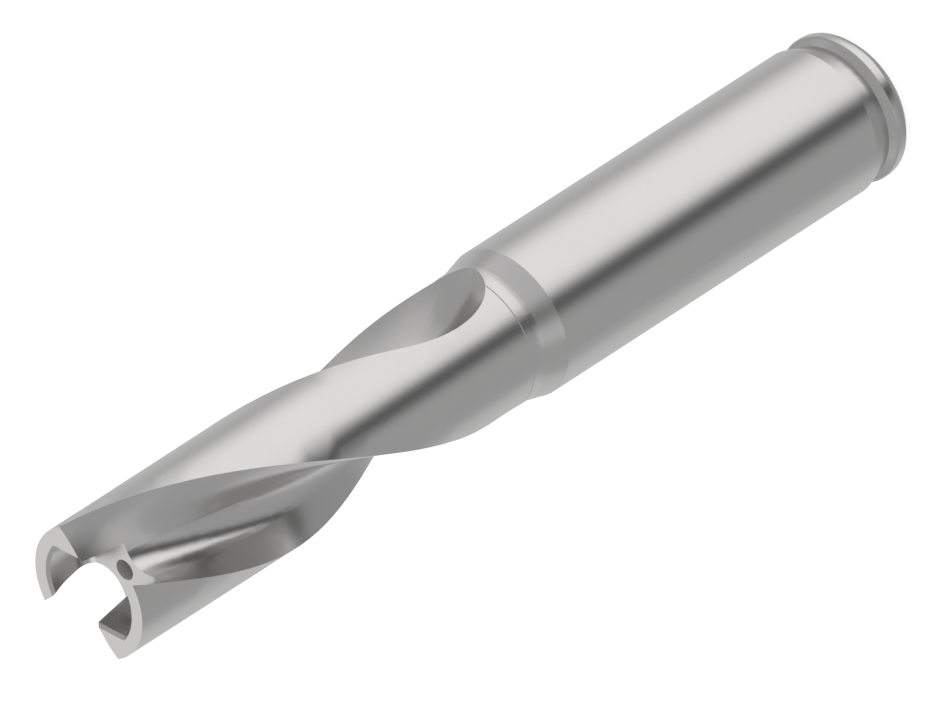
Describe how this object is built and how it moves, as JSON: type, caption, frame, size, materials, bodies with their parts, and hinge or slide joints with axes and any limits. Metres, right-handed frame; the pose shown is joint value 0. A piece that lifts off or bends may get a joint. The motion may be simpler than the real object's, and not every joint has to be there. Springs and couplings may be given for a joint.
{
  "type": "modular drill body",
  "caption": "Drill body with a plain round shank, a short conical collar, right-hand helical flutes and a forked end that seats and drives an exchangeable cutting head.",
  "frame": {"origin": "centre of the rear end face of the shank, which the body stands on", "axes": "+Z along the drill axis, from the shank to the forked end; X along the driving walls of the head pocket and Y across them"},
  "size_m": [0.016, 0.016, 0.1084],
  "materials": {
    "ground_steel": "satin ground"
  },
  "bodies": {
    "root": {"drill_body": "ground_steel"}
  },
  "joints": []
}
